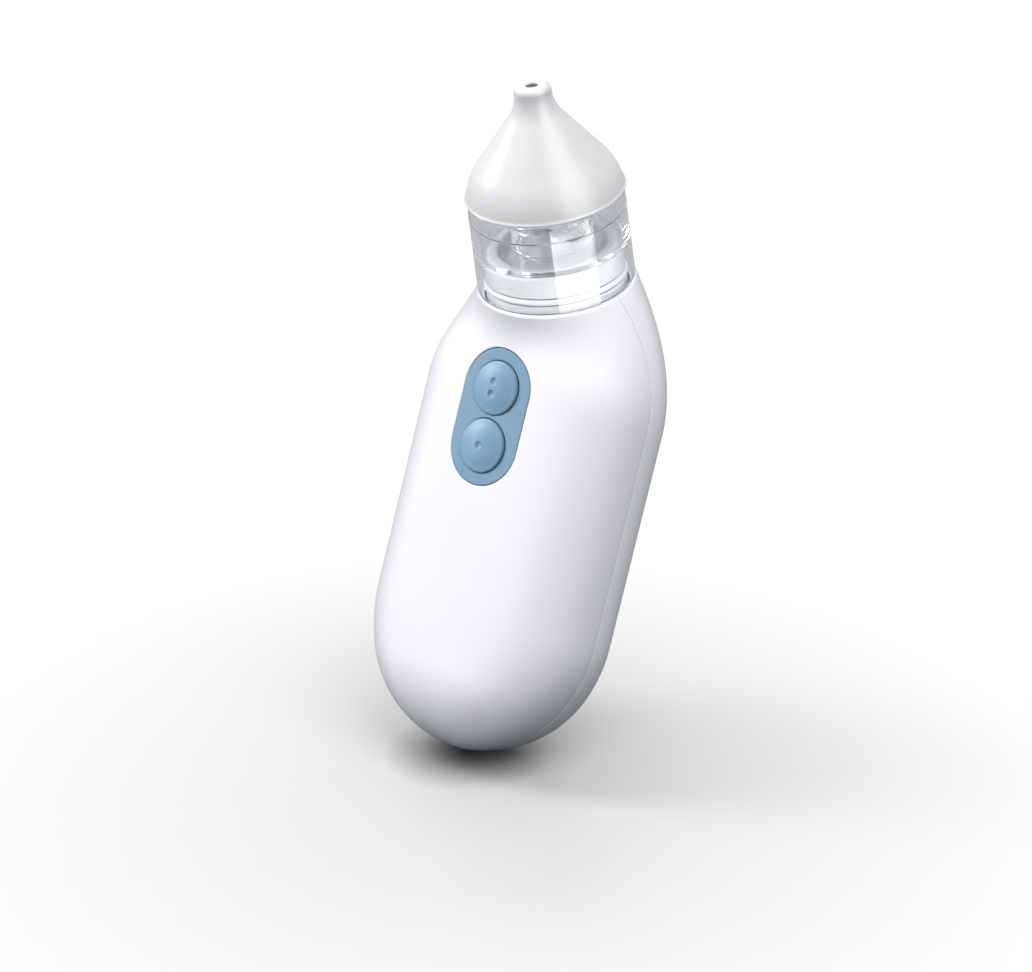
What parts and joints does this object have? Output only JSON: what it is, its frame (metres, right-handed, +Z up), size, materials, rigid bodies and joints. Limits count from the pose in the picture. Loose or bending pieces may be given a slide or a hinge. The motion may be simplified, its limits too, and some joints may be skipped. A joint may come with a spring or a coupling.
{
  "type": "nasal aspirator",
  "caption": "Hand-held battery nasal aspirator: bent, rounded handle with a panel of round buttons, a clear collection cup and a soft conical tip.",
  "frame": {"origin": "centre of the bounding box's bottom, under the handle's rounded end", "axes": "+Z up through the tip as the object is held, -Y the front with the buttons, +X to the right of someone facing the buttons"},
  "size_m": [0.0608, 0.0655, 0.1588],
  "materials": {
    "shell_white": "smooth gloss moulded ABS",
    "surround_blue": "satin",
    "button_blue": "satin",
    "cup_clear": "clear polished plastic",
    "tip_silicone": "soft white silicone, fine matte",
    "seal_silicone": "moulded silicone",
    "black_rubber": "matte",
    "black_plastic": "fine matte",
    "red_insulation": "satin",
    "grey_plastic": "fine matte",
    "board_green": "solder mask",
    "cell_jacket": "printed sleeve over the cell",
    "plated_steel": "plated",
    "brass": "turned"
  },
  "bodies": {
    "handle": {"battery_left": "cell_jacket", "battery_right": "cell_jacket", "battery_tray": "grey_plastic", "battery_wire_black": "black_plastic", "battery_wire_red": "red_insulation", "board_screw_left": "plated_steel", "board_screw_right": "plated_steel", "button_surround": "surround_blue", "case_screw_left": "plated_steel", "case_screw_right": "plated_steel", "circuit_board": "board_green", "contact_bridge": "plated_steel", "contact_plate_left": "plated_steel", "contact_plate_right": "plated_steel", "contact_spring_left": "plated_steel", "contact_spring_right": "plated_steel", "front_shell": "shell_white", "motor_can": "plated_steel", "motor_end_cap": "black_plastic", "motor_sleeve": "black_rubber", "motor_wire_black": "black_plastic", "motor_wire_red": "red_insulation", "neck_plug": "shell_white", "plug_seal": "seal_silicone", "pump_head": "black_plastic", "pump_housing": "grey_plastic", "pump_screw_1": "plated_steel", "pump_screw_2": "plated_steel", "pump_screw_3": "plated_steel", "pump_screw_4": "plated_steel", "rear_shell": "shell_white", "suction_tube": "seal_silicone", "switch_high": "black_plastic", "switch_low": "black_plastic"},
    "upper_button": {"button_high": "button_blue", "switch_high_plunger": "black_plastic"},
    "lower_button": {"button_low": "button_blue", "switch_low_plunger": "black_plastic"},
    "cup": {"collection_cup": "cup_clear"},
    "tip": {"silicone_tip": "tip_silicone"},
    "cover": {"battery_cover": "shell_white"},
    "rotor": {"motor_shaft": "plated_steel", "pump_eccentric": "brass"},
    "rod": {"pump_diaphragm": "black_rubber", "pump_rod": "shell_white"}
  },
  "joints": [
    {"name": "upper_button_press", "type": "slide", "parent": "handle", "child": "upper_button", "axis": [0, 0.9371, -0.3492], "range_m": [0, 0.0008], "stiffness_N_per_m": 20},
    {"name": "lower_button_press", "type": "slide", "parent": "handle", "child": "lower_button", "axis": [0, 0.9326, -0.3608], "range_m": [0, 0.0008], "stiffness_N_per_m": 20},
    {"name": "cup_pull", "type": "slide", "parent": "handle", "child": "cup", "axis": [0, -0.1834, 0.983], "range_m": [0, 0.012]},
    {"name": "tip_pull", "type": "slide", "parent": "cup", "child": "tip", "axis": [0, -0.1834, 0.983], "range_m": [0, 0.006]},
    {"name": "cover_lift", "type": "slide", "parent": "handle", "child": "cover", "axis": [0, 0.9326, -0.3608], "range_m": [0, 0.012], "stiffness_N_per_m": 60},
    {"name": "motor_spin", "type": "hinge", "parent": "handle", "child": "rotor", "pos_m": [0, 0.02402, 0.10571], "axis": [0, 0.3608, 0.9326], "continuous": true},
    {"name": "rod_stroke", "type": "slide", "parent": "handle", "child": "rod", "axis": [0, 0.9326, -0.3608], "range_m": [0, 0.0012]}
  ]
}
